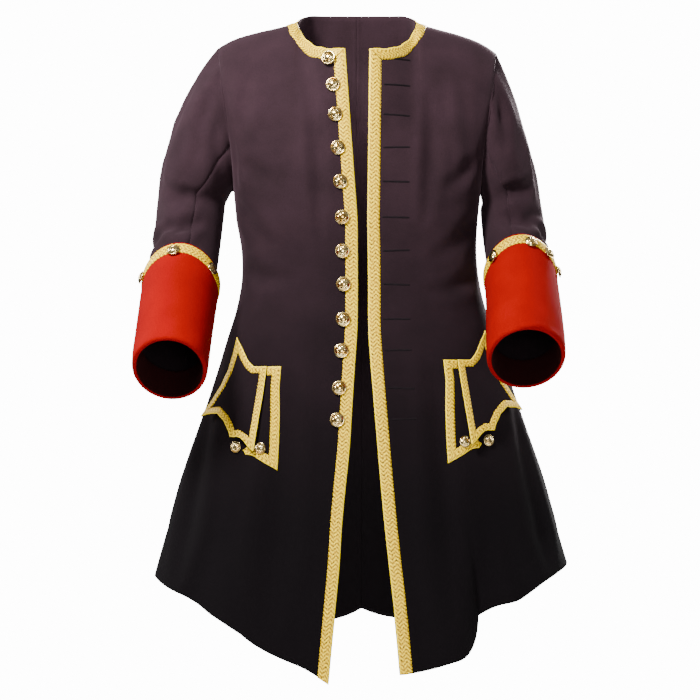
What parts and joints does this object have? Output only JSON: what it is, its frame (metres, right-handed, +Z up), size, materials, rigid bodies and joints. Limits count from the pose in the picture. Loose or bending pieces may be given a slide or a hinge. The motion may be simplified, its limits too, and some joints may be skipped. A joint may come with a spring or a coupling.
{
  "type": "naval officer's frock coat",
  "caption": "Dark knee-length officer's frock coat worn open on a hollow form, with gold lace edges, turned-back red cuffs, flap pockets and metal buttons.",
  "frame": {"origin": "middle of the neck at the height where the shoulder seams meet the neckline, between the shoulders that carry the coat", "axes": "+Z up, -Y out of the coat's open front, +X towards the wearer's left arm"},
  "size_m": [0.6972, 0.4968, 1.083],
  "materials": {
    "dark_wool": "dark aubergine woollen cloth, matt with a soft nap",
    "red_cloth": "bright red woollen cloth, matt",
    "gold_lace": "woven gold metallic lace with a fine zigzag ground",
    "button_metal": "pale gilt metal, domed and chased"
  },
  "bodies": {
    "root": {"front_right": "dark_wool", "front_left": "dark_wool", "back_right": "dark_wool", "back_left": "dark_wool", "upper_sleeve_right": "dark_wool", "upper_sleeve_left": "dark_wool", "under_sleeve_right": "dark_wool", "under_sleeve_left": "dark_wool", "cuff_right": "red_cloth", "cuff_left": "red_cloth", "cuff_lace_right": "gold_lace", "cuff_lace_left": "gold_lace", "front_lace_right": "gold_lace", "front_lace_left": "gold_lace", "pocket_lace_right": "gold_lace", "pocket_lace_left": "gold_lace", "pocket_flap_right": "dark_wool", "pocket_flap_left": "dark_wool", "flap_lace_right": "gold_lace", "flap_lace_left": "gold_lace", "neck_lace": "gold_lace", "front_button_01": "button_metal", "front_button_02": "button_metal", "front_button_03": "button_metal", "front_button_04": "button_metal", "front_button_05": "button_metal", "front_button_06": "button_metal", "front_button_07": "button_metal", "front_button_08": "button_metal", "front_button_09": "button_metal", "front_button_10": "button_metal", "front_button_11": "button_metal", "front_button_12": "button_metal", "cuff_button_right_1": "button_metal", "cuff_button_right_2": "button_metal", "cuff_button_right_3": "button_metal", "cuff_button_left_1": "button_metal", "cuff_button_left_2": "button_metal", "cuff_button_left_3": "button_metal", "cuff_button_left_4": "button_metal", "pocket_button_right_1": "button_metal", "pocket_button_right_2": "button_metal", "pocket_button_left_1": "button_metal", "pocket_button_left_2": "button_metal"}
  },
  "joints": []
}
